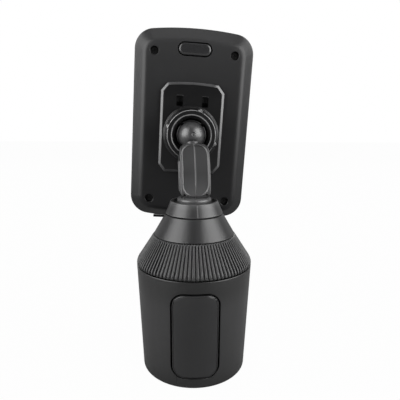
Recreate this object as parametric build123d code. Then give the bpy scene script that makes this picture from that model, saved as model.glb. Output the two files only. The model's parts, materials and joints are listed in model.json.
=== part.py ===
from build123d import *
from math import atan2, cos, degrees, pi, radians, sin, sqrt, tan
import os

# A cup-holder phone mount. Millimetres and degrees. The origin is the middle of the base's underside,
# +Z is up, and the front leg faces -Y. The phone faces +Y.

# ---- Fits and gaps shared by several pieces ----
running_gap = 0.05  # radial gap of a shaft that turns in a hole
slide_gap = 0.3  # gap each side of a piece that slides in a guide
turn_gap = 0.4  # gap between two turning faces
root_sink = 1.0  # how far a pin or lip is sunk into what carries it

# ---- Cup ----
cup_foot_r = 32.8
cup_rim_r = 36.0
cup_height = 68.4
cup_wall = 2.2
cup_edge_r = 1.0
rim_thickness = 3.2
rim_depth = 2.4

# ---- Expansion legs and their windows ----
leg_names = ("front", "right", "left")
front_leg_angle = -90.0
window_width = 28.6
window_foot = 6.8  # window's lower edge above the floor
window_rim = 7.4  # cup's rim above the window's upper edge
window_corner_r = 7.8
window_gap = 0.8
leg_travel = 9.0
pad_proud = 0.8
pad_thickness = 1.8
leg_thickness = 2.2
leg_arm_width = 10.0
leg_arm_inner_r = 12.0
upper_arm_height = 7.6
lower_arm_height = 4.6
pad_edge = 0.5

# ---- Bottom cover and guides ----
cover_thickness = 2.4
cover_inset = 2.6  # how far the cover's edge stays inside the cup's outer foot
channel_floor = 8.0
channel_wall = 2.2
channel_inner_r = 9.0
channel_outer_r = 26.0
post_r = 3.4
post_circle_r = 26.8
base_screw_r = 1.4
base_screw_head_r = 2.6
base_screw_head = 1.4
base_screw_length = 12.0
deck_thickness = 2.4
deck_r = 29.6
deck_drop = 21.4  # deck's underside below the cup's rim
spindle_r = 6.0

# ---- Turning ring and scroll ----
ring_gap = 0.5
ring_vertex_height = 2.1
ring_edge_run = 1.78  # part of the straight rim taken by the rounded edge
ring_top_r = 25.6
ring_height = 18.1
ring_wall = 3.6
ring_floor = 3.0
skirt_outer_r = 29.2
skirt_wall = 2.2
rib_count = 92
rib_groove_width = 1.0
scroll_turn = 100.0
scroll_start_r = 15.5
scroll_pin_r = 2.0
scroll_slot_gap = 0.25
cam_gap = 1.2  # cam disc above the leg arms' guides
cam_thickness = 2.6
cam_r = 29.2
cam_screw_circle_r = 25.2
cam_screw_lead = 9.0  # degrees past each slot's inner end
cam_boss_r = 3.0

# ---- Fixed cone and swivel ----
cone_foot_inset = 0.4  # cone's foot inside the ring's top edge
cone_gap = 0.3
cone_top_r = 17.8
cone_height = 12.7
cone_wall = 2.4
cone_skirt_wall = 2.0
cone_skirt_depth = 2.8
swivel_neck_r = 7.0
swivel_neck_height = 3.2
swivel_flange_r = 9.8
swivel_flange_height = 2.2
spindle_screw_r = 1.8
spindle_screw_head_r = 3.4
spindle_screw_head = 2.0
spindle_screw_length = 26.0

# ---- Neck: collar, boss and leaning arm ----
neck_turn = 5.7  # rest position of the neck about Z
collar_top_r = 14.6
collar_height = 7.7
collar_rim_wall = 1.4
collar_recess_depth = 1.8
boss_r = 10.6
boss_proud = 2.3
boss_edge_r = 1.2
arm_width = 18.3
arm_thickness = 16.5
arm_foot_straight = 4.7
arm_bend_r = 33.1
arm_lean = 37.0
arm_head_straight = 3.93
arm_waist = 2.0  # how far the arm draws in at the boss
arm_corner_r = 5.0
arm_edge_r = 1.0
arm_end_cut = 3.8  # slope at the back of the arm's end, clear of the lock nut
arm_rim = 1.4
arm_recess_corner_r = 5.0
arm_recess_depth = 0.8
arm_recess_foot = 1.0  # how far the recess stops above the boss
flank_groove_width = 9.6
flank_groove_depth = 1.0
flank_groove_foot = 3.0
neck_screw_r = 1.4
neck_screw_head_r = 2.4
neck_screw_head = 1.6
neck_screw_tip = 2.0  # plastic left past the screw's tip
neck_screw_alongs = (2.6, 16.0)  # distance of each neck screw above the boss along the arm

# ---- Ball joint ----
ball_r = 8.5
shank_r = 4.1
shank_visible = 3.0
shank_hidden = 8.0
stud_flange_r = 5.4
stud_flange = 2.0
socket_depth = 10.0  # ball centre to the socket plate's face
collet_wall = 1.5
collet_tip = 0.7
collet_lip = 0.5  # how far the collet reaches past the ball's middle
collet_root_r = 12.0
collet_slit = 2.0
collet_slits = 4
seat_r = 6.0
seat_thickness = 4.2
nut_front = 1.0  # how far the nut reaches past the ball's middle
nut_face_r = 12.8
nut_throat_r = 10.3
nut_outer_r = 15.6
nut_rear_r = 17.2
nut_flange = 1.6
nut_flange_reach = 1.2
nut_fins = 4
nut_fin_reach = 17.4
nut_fin_width = 0.9
nut_fin_root = 14.0  # degrees from a fin's middle to its root
nut_fin_inset = 0.4
nut_fin_angle = 72.0

# ---- Cradle: depths are measured from the ball centre towards the phone ----
cradle_yaw = 1.5
cradle_pitch = 1.5
cradle_roll = 3.1
cradle_middle = 4.1  # outline centre above the ball centre
outline_half = 39.1
outline_top = 63.4
outline_bow = 3.5
outline_corner_r = 13.1
back_half = 31.9
back_top = 55.4
back_bottom = 57.2
back_bow = 2.6
back_corner_r = 7.8
back_depth = 13.0
parting_depth = 20.0
shell_wall = 2.2
parting_step = 0.4

# ---- Socket plate ----
plate_half = 20.7
plate_top = 29.1
plate_bottom = 30.1
plate_corner_x = 4.1
plate_corner_z = 5.1
plate_bow = 1.0
plate_edge = 1.6
plate_slot_x = 8.3
plate_slot_z = 17.0
plate_slot_width = 3.8
plate_slot_height = 6.6
plate_screw_x = 15.5
plate_screw_top = 8.5
plate_screw_foot = 25.5
plate_screw_r = 1.1
plate_screw_head_r = 2.2
plate_screw_head = 1.2

# ---- Front half of the cradle ----
flange_thickness = 2.0
platform_half = 27.5
platform_top = 42.0
platform_bottom = 44.0
platform_corner_r = 6.0
platform_depth = 28.0
platform_wall = 2.0
front_pad_thickness = 1.0
front_pad_inset = 1.0
corner_screw_x = 26.0
corner_screw_top = 47.3
corner_screw_bottom = 49.4
corner_boss_r = 4.2
corner_boss_depth = 17.0
corner_screw_r = 1.25
corner_screw_head_r = 2.3
corner_screw_head = 1.2
corner_screw_sink = 1.9
corner_screw_length = 5.2
corner_well_r = 2.7

# ---- Clamp arms, rack and pinion ----
clamp_travel = 17.0
gear_module = 1.0
pinion_teeth = 12
pressure_angle = 25.0
tooth_addendum = 0.8
tooth_dedendum = 1.15
tooth_backlash = 0.2
pinion_z = 6.0  # pinion centre above the outline centre
rack_depth = 23.0
rack_thickness = 2.6
rack_height = 9.0
rack_spare = 4.0
guide_bar_height = 5.0
guide_bar_z = 19.5
guide_bar_end = 5.0
guide_rib_inset = 8.0
guide_rib_width = 3.0
jaw_half_height = 27.0
jaw_inner = 30.2
jaw_outer = 37.9
jaw_reach = 39.0
jaw_lip = 1.6
jaw_lip_thickness = 2.2
jaw_corner_r = 3.0
jaw_pad_thickness = 2.0
jaw_pad_inset = 2.0
axle_r = 2.0
ratchet_teeth = 16
ratchet_r = 8.0
ratchet_root_r = 6.8
ratchet_depth = 17.2
ratchet_thickness = 2.0
pinion_hub_r = 4.2
pinion_screw_r = 0.9
pinion_screw_head_r = 3.4
pinion_screw_head = 1.2
pinion_screw_length = 6.0
torsion_wire_r = 0.35
torsion_coil_r = 5.3
torsion_turns = 3
torsion_pitch = 0.95

# ---- Release button, pawl and their springs ----
button_z = 49.6  # above the outline centre
button_width = 20.7
button_height = 7.45
button_gap = 0.65
button_proud = 0.4
button_thickness = 2.0
button_travel = 2.0
button_edge = 0.5
stem_half = 1.7
stem_height = 3.7
stem_reach = 17.8
stem_ramp = 2.0
ramp_gap = 0.1
pawl_half = 4.0
pawl_depth = 17.0
pawl_thickness = 2.4
pawl_tip_gap = 0.3
pawl_head = 2.2
pawl_window_half = 2.3
pawl_shoulder_half = 6.0
pawl_shoulder_height = 2.0
pawl_shoulder_z = 30.0
spring_wire_r = 0.25
button_spring_r = 1.5
button_spring_x = 6.6
button_spring_turns = 4
pawl_spring_r = 1.1
pawl_spring_turns = 7
pawl_spring_length = 5.6
pawl_stop_thickness = 2.0
pawl_bed_gap = 4.0
pawl_bed_height = 12.0

# ---- Foot bracket ----
foot_travel = 20.0
foot_half = 23.0
foot_bar_thickness = 1.6
foot_bar_gap = 0.2
foot_bar_start = 22.3
foot_bar_front = 38.0
foot_lip_height = 5.0
foot_lip_thickness = 2.2
foot_lip_width = 10.0
foot_slide_half = 12.0
foot_slide_depth = 20.3
foot_slide_thickness = 2.0
foot_slide_hold = 24.0
foot_pad_thickness = 1.2
tunnel_wall = 1.6

# ---- Values that follow from the ones above ----
leg_angles = {name: front_leg_angle + 360 / len(leg_names) * n for n, name in enumerate(leg_names)}
post_angles = [angle + 180 for angle in leg_angles.values()]
window_height = cup_height - window_foot - window_rim
window_middle = window_foot + window_height / 2
deck_z = cup_height - deck_drop
cam_z = deck_z + deck_thickness + slide_gap + upper_arm_height + slide_gap + cam_gap
skirt_foot_z = cam_z + cam_thickness
ring_foot_z = cup_height + ring_gap
ring_top_z = ring_foot_z + ring_height
ring_lean = atan2(cup_rim_r - ring_top_r, ring_height - ring_vertex_height)
ring_edge_r = ring_edge_run / tan(ring_lean / 2)
cone_foot_r = ring_top_r - cone_foot_inset
cone_foot_z = ring_top_z + cone_gap
cone_top_z = cone_foot_z + cone_height
scroll_rate = leg_travel / radians(scroll_turn)
swivel_z = cone_top_z + turn_gap
collar_top_z = swivel_z + collar_height
boss_top_z = collar_top_z + boss_proud
bend_z = boss_top_z + arm_foot_straight
head_length = arm_head_straight + shank_visible + ball_r
ball_y = arm_bend_r * (1 - cos(radians(arm_lean))) + head_length * sin(radians(arm_lean))
ball_z = bend_z + arm_bend_r * sin(radians(arm_lean)) + head_length * cos(radians(arm_lean))
pinion_r = gear_module * pinion_teeth / 2
gear_z = cradle_middle + pinion_z
front_depth = platform_depth + front_pad_thickness
rack_end = clamp_travel + rack_spare
foot_slide_length = foot_travel + foot_slide_hold


# ---- Helpers ----
def turned(*points):
    """Solid of revolution about Z from (radius, height) points."""
    outline = Polyline(*[(r, 0, z) for r, z in points], close=True)
    return revolve(make_face(outline), Axis.Z)


def about_z(shape, angle):
    return Rot(0, 0, angle) * shape


def cup_r(z):
    """Outer radius of the tapered cup at a height."""
    return cup_foot_r + (cup_rim_r - cup_foot_r) * z / cup_height


def cup_band(inner, outer, low, high):
    """Ring between two offsets from the cup's outer face."""
    return turned(
        (cup_r(low) + inner, low),
        (cup_r(low) + outer, low),
        (cup_r(high) + outer, high),
        (cup_r(high) + inner, high),
    )


def window_prism(gap, reach):
    """Rounded block that runs out along -Y through a leg's window."""
    face = RectangleRounded(window_width - 2 * gap, window_height - 2 * gap, window_corner_r - gap)
    return extrude(Plane.XZ * Pos(0, window_middle) * face, reach)


def block(x, y, z):
    """Box from three (low, high) pairs."""
    size = [high - low for low, high in (x, y, z)]
    middle = [(high + low) / 2 for low, high in (x, y, z)]
    return Pos(*middle) * Box(*size)


def rod(r, low, high, x=0.0, y=0.0):
    return Pos(x, y, (low + high) / 2) * Cylinder(r, high - low)


def screw(thread_r, head_r, head, length):
    """Pan-head screw that points down -Z, with its head's underside at z = 0 and a cross recess."""
    body = rod(thread_r, -length, 0) + rod(head_r, 0, head)
    bar = block((-head_r * 0.62, head_r * 0.62), (-head_r * 0.14, head_r * 0.14), (head * 0.45, head))
    return body - bar - about_z(bar, 90)


def round_spots(circle_r, angles):
    return [(circle_r * cos(radians(a)), circle_r * sin(radians(a))) for a in angles]


# ---- Base ----
def make_cup_shell():
    outside = turned((0, 0), (cup_foot_r, 0), (cup_rim_r, cup_height), (0, cup_height))
    outside = chamfer(outside.edges().group_by(Axis.Z)[0], cup_edge_r)
    inner_foot = cup_foot_r - cover_inset
    hollow = turned(
        (0, 0),
        (inner_foot, 0),
        (inner_foot, cover_thickness),
        (cup_r(cover_thickness) - cup_wall - 0.2, cover_thickness),
        (cup_r(cup_height - rim_depth) - cup_wall, cup_height - rim_depth),
        (cup_rim_r - rim_thickness, cup_height - rim_depth),
        (cup_rim_r - rim_thickness, cup_height),
        (0, cup_height),
    )
    cup = outside - hollow
    half_wall = cup_wall / 2
    core = turned(
        (0, cover_thickness),
        (cup_r(cover_thickness) - half_wall, cover_thickness),
        (cup_r(deck_z) - half_wall, deck_z),
        (0, deck_z),
    )
    web = block((post_circle_r, cup_rim_r), (-half_wall, half_wall), (cover_thickness, deck_z)) & core
    for angle in post_angles:
        cup += about_z(web, angle)
    for x, y in round_spots(post_circle_r, post_angles):
        cup += rod(post_r, cover_thickness, deck_z, x, y)
    for angle in leg_angles.values():
        cup -= about_z(window_prism(0, 2 * cup_rim_r), angle + 90)
    for x, y in round_spots(post_circle_r, post_angles):
        cup -= rod(base_screw_r, cover_thickness, cover_thickness + base_screw_length, x, y)
        cup -= rod(base_screw_r, deck_z - base_screw_length, deck_z, x, y)
    return cup


def leg_channel(floor, low, high):
    """U-shaped guide for one leg arm, along -Y."""
    half = leg_arm_width / 2 + slide_gap
    sides = block((-half - channel_wall, half + channel_wall), (-channel_outer_r, -channel_inner_r), (low, high))
    return sides - block((-half, half), (-channel_outer_r, -channel_inner_r), (floor, high))


def make_bottom_cover():
    lower_low = channel_floor + slide_gap
    cover = rod(cup_foot_r - cover_inset, 0, cover_thickness)
    for angle in leg_angles.values():
        top = lower_low + lower_arm_height
        cover += about_z(leg_channel(channel_floor, cover_thickness, top), angle + 90)
    for x, y in round_spots(post_circle_r, post_angles):
        cover -= rod(base_screw_r, 0, cover_thickness, x, y)
        cover -= rod(base_screw_head_r, 0, base_screw_head, x, y)
    return cover


def make_base_screws():
    screw_length = base_screw_length + cover_thickness - base_screw_head
    one = Pos(0, 0, base_screw_head) * Rot(180, 0, 0) * screw(
        base_screw_r, base_screw_head_r, base_screw_head, screw_length
    )
    return [Pos(x, y, 0) * one for x, y in round_spots(post_circle_r, post_angles)]


def make_deck_screws():
    top = deck_z + deck_thickness
    one = screw(base_screw_r, base_screw_head_r, base_screw_head, deck_thickness + base_screw_length)
    return [Pos(x, y, top) * one for x, y in round_spots(post_circle_r, post_angles)]


def make_guide_deck():
    top = deck_z + deck_thickness
    spindle_top = cone_top_z - cone_wall
    deck = rod(deck_r, deck_z, top) + rod(spindle_r, top, spindle_top)
    for angle in leg_angles.values():
        deck += about_z(leg_channel(top, top, top + upper_arm_height), angle + 90)
    for x, y in round_spots(post_circle_r, post_angles):
        deck -= rod(base_screw_r, deck_z, top, x, y)
    bore_low = cone_top_z + swivel_neck_height + swivel_flange_height - spindle_screw_head - spindle_screw_length
    return deck - rod(spindle_screw_r, bore_low, spindle_top)


def make_smooth_cone():
    top_inner_r = cone_top_r - cone_wall - 1.0
    cone = turned(
        (cone_foot_r, cone_foot_z),
        (cone_top_r, cone_top_z),
        (spindle_screw_r, cone_top_z),
        (spindle_screw_r, cone_top_z - cone_wall),
        (top_inner_r, cone_top_z - cone_wall),
        (cone_foot_r - ring_wall - cone_skirt_wall, cone_foot_z),
        (cone_foot_r - ring_wall - cone_skirt_wall, cone_foot_z - cone_skirt_depth),
        (cone_foot_r - ring_wall, cone_foot_z - cone_skirt_depth),
        (cone_foot_r - ring_wall, cone_foot_z),
    )
    return cone


def make_swivel_post():
    flange_z = cone_top_z + swivel_neck_height
    top = flange_z + swivel_flange_height
    post = rod(swivel_neck_r, cone_top_z, flange_z) + rod(swivel_flange_r, flange_z, top)
    post -= rod(spindle_screw_r, cone_top_z, top)
    return post - rod(spindle_screw_head_r, top - spindle_screw_head, top)


def make_spindle_screw():
    top = cone_top_z + swivel_neck_height + swivel_flange_height
    one = screw(spindle_screw_r, spindle_screw_head_r, spindle_screw_head, spindle_screw_length)
    return Pos(0, 0, top - spindle_screw_head) * one


# ---- Legs ----
def make_leg():
    """One leg, facing -Y: curved panel, two guided arms and the scroll pin."""
    low = window_middle - window_height / 2
    high = window_middle + window_height / 2
    pad_back = pad_proud - pad_thickness
    panel = cup_band(pad_back - leg_thickness, pad_back, low, high) & window_prism(window_gap, 2 * cup_rim_r)
    half = leg_arm_width / 2
    upper_z = deck_z + deck_thickness + slide_gap
    lower_z = channel_floor + slide_gap
    for z, height in ((upper_z, upper_arm_height), (lower_z, lower_arm_height)):
        root = cup_r(z) + pad_back - leg_thickness / 2
        panel += block((-half, half), (-root, -leg_arm_inner_r), (z, z + height))
    pin_foot = upper_z + upper_arm_height
    return panel + rod(scroll_pin_r, pin_foot - root_sink, cam_z + cam_thickness - slide_gap, y=-scroll_start_r)


def make_leg_pad():
    """Soft outer pad of one leg, facing -Y."""
    low = window_middle - window_height / 2
    high = window_middle + window_height / 2
    pad_back = pad_proud - pad_thickness
    core = cup_band(pad_back, pad_proud - pad_edge, low, high) & window_prism(window_gap, 2 * cup_rim_r)
    face = cup_band(pad_back, pad_proud, low, high) & window_prism(window_gap + pad_edge, 2 * cup_rim_r)
    return core + face


# ---- Ring ----
def scroll_slot(middle_angle):
    """Spiral slot: turning it by an angle carries its pin out by scroll_rate times that angle."""
    half = scroll_pin_r + scroll_slot_gap
    steps = 9
    sides = {-1: [], 1: []}
    ends = []
    for step in range(steps):
        turn = radians(scroll_turn) * step / (steps - 1)
        angle = radians(middle_angle) - turn
        r = scroll_start_r + scroll_rate * turn
        along = Vector(sin(angle) * r + cos(angle) * scroll_rate, -cos(angle) * r + sin(angle) * scroll_rate)
        along = along.normalized()
        centre = Vector(r * cos(angle), r * sin(angle))
        for side, edge in sides.items():
            edge.append(centre + Vector(-along.Y, along.X) * half * side)
        if step in (0, steps - 1):
            ends.append(centre + along * half * (-1 if step == 0 else 1))
    outline = [
        Spline(*sides[1]),
        ThreePointArc(sides[1][-1], ends[1], sides[-1][-1]),
        Spline(*reversed(sides[-1])),
        ThreePointArc(sides[-1][0], ends[0], sides[1][0]),
    ]
    return make_face(outline)


def cam_screw_spots():
    angles = [angle + cam_screw_lead for angle in leg_angles.values()]
    return round_spots(cam_screw_circle_r, angles)


def make_cam_disc():
    disc = rod(cam_r, cam_z, cam_z + cam_thickness) - rod(spindle_r + running_gap, cam_z, cam_z + cam_thickness)
    for angle in leg_angles.values():
        disc -= extrude(Pos(0, 0, cam_z) * scroll_slot(angle), cam_thickness)
    for x, y in cam_screw_spots():
        disc -= rod(base_screw_r, cam_z, cam_z + cam_thickness, x, y)
    return disc


def make_cam_screws():
    one = Pos(0, 0, cam_z) * Rot(180, 0, 0) * screw(
        base_screw_r, base_screw_head_r * 0.8, base_screw_head * 0.7, cam_thickness + ring_floor
    )
    return [Pos(x, y, 0) * one for x, y in cam_screw_spots()]


def make_ribbed_ring():
    foot = ring_foot_z
    vertex = foot + ring_vertex_height
    slope = (cup_rim_r - ring_top_r) / (ring_top_z - vertex)
    floor_z = foot + ring_floor
    lines = Polyline(
        (skirt_outer_r, 0, foot),
        (cup_rim_r, 0, foot),
        (cup_rim_r, 0, vertex),
        (ring_top_r, 0, ring_top_z),
        (ring_top_r - ring_wall, 0, ring_top_z),
        (ring_top_r - ring_wall + slope * (ring_top_z - floor_z), 0, floor_z),
        (skirt_outer_r - skirt_wall, 0, floor_z),
        (skirt_outer_r - skirt_wall, 0, skirt_foot_z),
        (skirt_outer_r, 0, skirt_foot_z),
        close=True,
    )
    face = make_face(lines)
    corner = [v for v in face.vertices() if abs(v.X - cup_rim_r) < 0.01 and abs(v.Z - vertex) < 0.01]
    ring = revolve(fillet(corner, ring_edge_r), Axis.Z)
    for x, y in cam_screw_spots():
        boss = rod(cam_boss_r, skirt_foot_z, floor_z, x, y)
        ring += boss - rod(base_screw_r, skirt_foot_z, skirt_foot_z + ring_floor, x, y)
    run = (ring_top_z - vertex) / cos(ring_lean)
    middle = ((cup_rim_r + ring_top_r) / 2, 0, (vertex + ring_top_z) / 2)
    tooth = Rectangle(rib_groove_width / sqrt(2), rib_groove_width / sqrt(2))
    tooth = Pos(*middle) * Rot(0, -degrees(ring_lean), 0) * extrude(Rot(0, 0, 45) * tooth, run / 2, both=True)
    grooves = [about_z(tooth, 360 * n / rib_count) for n in range(rib_count)]
    return ring - grooves


# ---- Neck ----
def arm_point(offset, along):
    """(y, z) at a distance along the arm's centre line from the boss, shifted towards the back."""
    bend_length = arm_bend_r * radians(arm_lean)
    if along <= arm_foot_straight:
        return offset, boss_top_z + along
    swung = min(along - arm_foot_straight, bend_length) / arm_bend_r
    y = arm_bend_r - (arm_bend_r - offset) * cos(swung)
    z = bend_z + (arm_bend_r - offset) * sin(swung)
    rest = max(along - arm_foot_straight - bend_length, 0)
    return y + rest * sin(swung), z + rest * cos(swung)


def arm_length():
    """Length of the arm's centre line, from the boss to its end under the ball."""
    return arm_foot_straight + arm_bend_r * radians(arm_lean) + arm_head_straight


def arm_band(front, back, start, stop, half_width, end_cut=0.0):
    """Block of the arm between two offsets from its centre line and two distances along it."""
    bend_start = arm_foot_straight
    bend_end = arm_foot_straight + arm_bend_r * radians(arm_lean)
    stations = [start, max(start, bend_start), min(stop, bend_end), stop]

    def at(offset, along):
        y, z = arm_point(offset, along)
        return 0, y, z

    edges = []
    for offset in (front, back):
        if offset == back:
            stations[3] = stop - end_cut
        if stations[1] > stations[0] + 0.001:
            edges.append(Line(at(offset, stations[0]), at(offset, stations[1])))
        middle = (stations[1] + stations[2]) / 2
        edges.append(ThreePointArc(at(offset, stations[1]), at(offset, middle), at(offset, stations[2])))
        if stations[3] > stations[2] + 0.001:
            edges.append(Line(at(offset, stations[2]), at(offset, stations[3])))
    edges.append(Line(at(front, start), at(back, start)))
    edges.append(Line(at(front, stop), at(back - end_cut, stop)))
    if end_cut:
        edges.append(Line(at(back - end_cut, stop), at(back, stop - end_cut)))
    return extrude(make_face(edges), half_width, both=True)


def shank_plane():
    """Plane at the ball's centre whose normal runs up the shank."""
    lean = radians(arm_lean)
    return Plane(origin=(0, ball_y, ball_z), x_dir=(1, 0, 0), z_dir=(0, sin(lean), cos(lean)))


def stud_shape(gap, end_gap):
    """Shank and flange of the ball stud, widened by the gaps to make its seat in the neck."""
    foot = -(ball_r + shank_visible + shank_hidden)
    shank = rod(shank_r + gap, foot - end_gap, -ball_r * 0.8)
    flange = rod(stud_flange_r + gap, foot - end_gap, foot + stud_flange + end_gap)
    return shank_plane() * (shank + flange)


def neck_screw_places():
    places = []
    for along in neck_screw_alongs:
        y, z = arm_point(0, along)
        places.append((y, z))
    return places


def make_neck():
    """Both halves of the neck as one body, before the parting."""
    recess_outer = collar_top_r - collar_rim_wall
    collar = turned(
        (0, swivel_z),
        (cone_top_r, swivel_z),
        (collar_top_r, collar_top_z),
        (recess_outer, collar_top_z),
        (recess_outer, collar_top_z - collar_recess_depth),
        (boss_r, collar_top_z - collar_recess_depth),
        (boss_r, boss_top_z - boss_edge_r),
        (boss_r - boss_edge_r, boss_top_z),
        (0, boss_top_z),
    )
    end = arm_length()
    half = arm_width / 2
    thick = arm_thickness / 2
    arm = arm_band(-thick, thick, 0, end, half)
    end_y, end_z = arm_point(0, end)
    along = Vector(0, sin(radians(arm_lean)), cos(radians(arm_lean)))
    near_end = [
        e for e in arm.edges().filter_by(lambda e: abs(e.length - arm_thickness) < 0.01)
        if (e.center() - Vector(0, end_y, end_z)).dot(along) > -0.01
    ]
    arm = fillet(near_end, arm_corner_r) & arm_band(-thick, thick, 0, end, half, arm_end_cut)
    arm = fillet(side_edges(arm, -thick), arm_edge_r)
    arm = fillet(side_edges(arm, thick), arm_edge_r)
    arm = arm & waisted(half, Plane.XZ) & waisted(thick, Plane.YZ)
    recess_half = half - arm_rim
    recess_low = boss_top_z + arm_recess_foot
    recess_top = arm_point(-thick, end)[1] - arm_rim
    width = 2 * recess_half
    straight = RectangleRounded(width, recess_top - recess_low, arm_recess_corner_r)
    outline = Pos(0, (recess_top + recess_low) / 2) * straight
    round_foot = Pos(0, recess_low + recess_half) * Circle(recess_half)
    upper = Pos(0, (recess_top + recess_low + recess_half) / 2) * Rectangle(width, recess_top - recess_low - recess_half)
    shape = outline & (round_foot + upper)
    prism = extrude(Plane.XZ * shape, 3 * ball_y, both=True)
    recess = prism & arm_band(-thick, -thick + arm_recess_depth, 0, end, half)
    side = flank_groove_width / 2
    stop = end - arm_corner_r
    groove = arm_band(-side, side, flank_groove_foot, stop, half)
    core = arm_band(-thick, thick, 0, end, half - flank_groove_depth)
    neck = collar + arm - recess - (groove - core)
    return neck - neck_hollows()


def waisted(half, plane):
    """Tall prism across the arm whose foot draws in from a half width to the boss."""
    low = boss_top_z - root_sink
    reach = 3 * ball_z
    bulge = (arm_foot_straight**2 + arm_waist**2) / (2 * arm_waist)
    drawn = half - bulge + sqrt(bulge**2 - (arm_foot_straight / 2) ** 2)
    middle = boss_top_z + arm_foot_straight / 2
    foot = half - arm_waist
    outline = [
        Line((-foot, low), (foot, low)),
        Line((foot, low), (foot, boss_top_z)),
        ThreePointArc((foot, boss_top_z), (drawn, middle), (half, bend_z)),
        Line((half, bend_z), (reach, bend_z)),
        Line((reach, bend_z), (reach, reach)),
        Line((reach, reach), (-reach, reach)),
        Line((-reach, reach), (-reach, bend_z)),
        Line((-reach, bend_z), (-half, bend_z)),
        ThreePointArc((-half, bend_z), (-drawn, middle), (-foot, boss_top_z)),
        Line((-foot, boss_top_z), (-foot, low)),
    ]
    return extrude(plane * make_face(outline), reach, both=True)


def arm_offset(point):
    """Offset of a point from the arm's centre line, towards the back."""
    across = arm_bend_r - point.Y
    up = point.Z - bend_z
    if up <= 0:
        return point.Y
    swung = min(atan2(up, across), radians(arm_lean))
    return arm_bend_r - across * cos(swung) - up * sin(swung)


def side_edges(arm, offset):
    """Long edges of the arm's flanks at an offset from its centre line, clear of the boss."""
    edges = []
    for edge in arm.edges():
        middle = edge @ 0.5
        on_side = abs(abs(middle.X) - arm_width / 2) < 0.01
        if on_side and middle.Z > boss_top_z + 0.1 and abs(arm_offset(middle) - offset) < 0.05:
            edges.append(edge)
    return edges


def neck_hollows():
    """Seats of the swivel post, the ball stud and the neck screws."""
    flange_low = cone_top_z + swivel_neck_height - slide_gap / 2
    flange_high = cone_top_z + swivel_neck_height + swivel_flange_height + slide_gap
    hollows = [
        rod(swivel_neck_r + running_gap, swivel_z, flange_low),
        rod(swivel_flange_r + running_gap * 2, flange_low, flange_high),
        stud_shape(running_gap, slide_gap / 2),
    ]
    half = arm_width / 2
    for y, z in neck_screw_places():
        across = Plane(origin=(0, y, z), x_dir=(0, 1, 0), z_dir=(-1, 0, 0))
        head_low = half - flank_groove_depth - neck_screw_head
        hollows.append(across * rod(neck_screw_r, -half + neck_screw_tip, half))
        hollows.append(across * rod(neck_screw_head_r, head_low, half))
    return hollows


def make_neck_half(side):
    reach = 2 * arm_width
    keep = block(sorted((0, side * reach)), (-reach, 2 * reach), (swivel_z - reach, ball_z + reach))
    return about_z(neck_body & keep, neck_turn)


def make_neck_screws():
    half = arm_width / 2
    head_low = half - flank_groove_depth - neck_screw_head
    length = head_low + half - neck_screw_tip
    one = screw(neck_screw_r, neck_screw_head_r, neck_screw_head, length)
    screws = []
    for y, z in neck_screw_places():
        across = Plane(origin=(0, y, z), x_dir=(0, 1, 0), z_dir=(-1, 0, 0))
        screws.append(about_z(across * (Pos(0, 0, head_low) * one), neck_turn))
    return screws


def make_ball_stud():
    return about_z(stud_shape(0, 0) + Pos(0, ball_y, ball_z) * Sphere(ball_r), neck_turn)


# ---- Cradle: drawn round the ball centre, x to the right, y towards the phone, z up ----
def slab(face, low, high):
    """Extrude a face drawn in x and z between two depths."""
    plane = Plane(origin=(0, high, 0), x_dir=(1, 0, 0), z_dir=(0, -1, 0))
    return extrude(plane * face, high - low)


def spool(*points):
    """Solid of revolution about the socket's axis from (radius, depth) points."""
    return Rot(-90, 0, 0) * turned(*points)


def pin(r, low, high, x=0.0, z=0.0):
    """Cylinder along the depth direction."""
    return Pos(x, 0, z) * Rot(-90, 0, 0) * rod(r, low, high)


def bowed(half, top, bottom, bow, corner_r):
    """Upright rectangle with bowed ends and round corners, about the outline's centre."""
    low = cradle_middle - bottom
    high = cradle_middle + top
    sides = [
        Line((-half, low + bow), (-half, high - bow)),
        ThreePointArc((-half, high - bow), (0, high), (half, high - bow)),
        Line((half, high - bow), (half, low + bow)),
        ThreePointArc((half, low + bow), (0, low), (-half, low + bow)),
    ]
    face = make_face(sides)
    return fillet(face.vertices(), corner_r)


def at_depth(face, depth):
    return Plane(origin=(0, depth, 0), x_dir=(1, 0, 0), z_dir=(0, -1, 0)) * face


def cradle_outline(inset):
    return bowed(
        outline_half - inset, outline_top - inset, outline_top - inset, outline_bow, outline_corner_r - inset
    )


def back_outline(inset):
    return bowed(back_half - inset, back_top - inset, back_bottom - inset, back_bow, back_corner_r - inset)


def corner_spots():
    return [
        (side * corner_screw_x, cradle_middle + z)
        for side in (-1, 1)
        for z in (corner_screw_top, -corner_screw_bottom)
    ]


def plate_screw_spots():
    return [
        (side * plate_screw_x, cradle_middle + z)
        for side in (-1, 1)
        for z in (plate_screw_top, -plate_screw_foot)
    ]


def button_face(gap):
    return Pos(0, cradle_middle + button_z) * SlotOverall(button_width + 2 * gap, button_height + 2 * gap)


def foot_top():
    """Height of the foot bar's upper face."""
    return cradle_middle - outline_top - foot_bar_gap


def pawl_bed():
    """Rails on the back cover's inside that guide the pawl, and the stop of its spring."""
    low = gear_z + ratchet_r + pawl_bed_gap
    high = low + pawl_bed_height
    inner = back_depth + shell_wall - 0.2
    width = pawl_half + slide_gap
    rails = block((-width - 1.6, width + 1.6), (inner, pawl_depth + pawl_thickness), (low, high))
    rails -= block((-width, width), (pawl_depth - slide_gap / 3, pawl_depth + pawl_thickness), (low, high))
    return rails


def spring_stop():
    """Post on the back cover's inside that the pawl spring pushes against."""
    low = gear_z + pawl_shoulder_z + pawl_shoulder_height + pawl_spring_length
    x = pawl_half + slide_gap
    inner = back_depth + shell_wall - 0.2
    outer = x + 2 * pawl_spring_r + 2 * spring_wire_r + 0.4
    return block((x, outer), (inner, pawl_depth + pawl_thickness), (low, low + pawl_stop_thickness))


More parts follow.
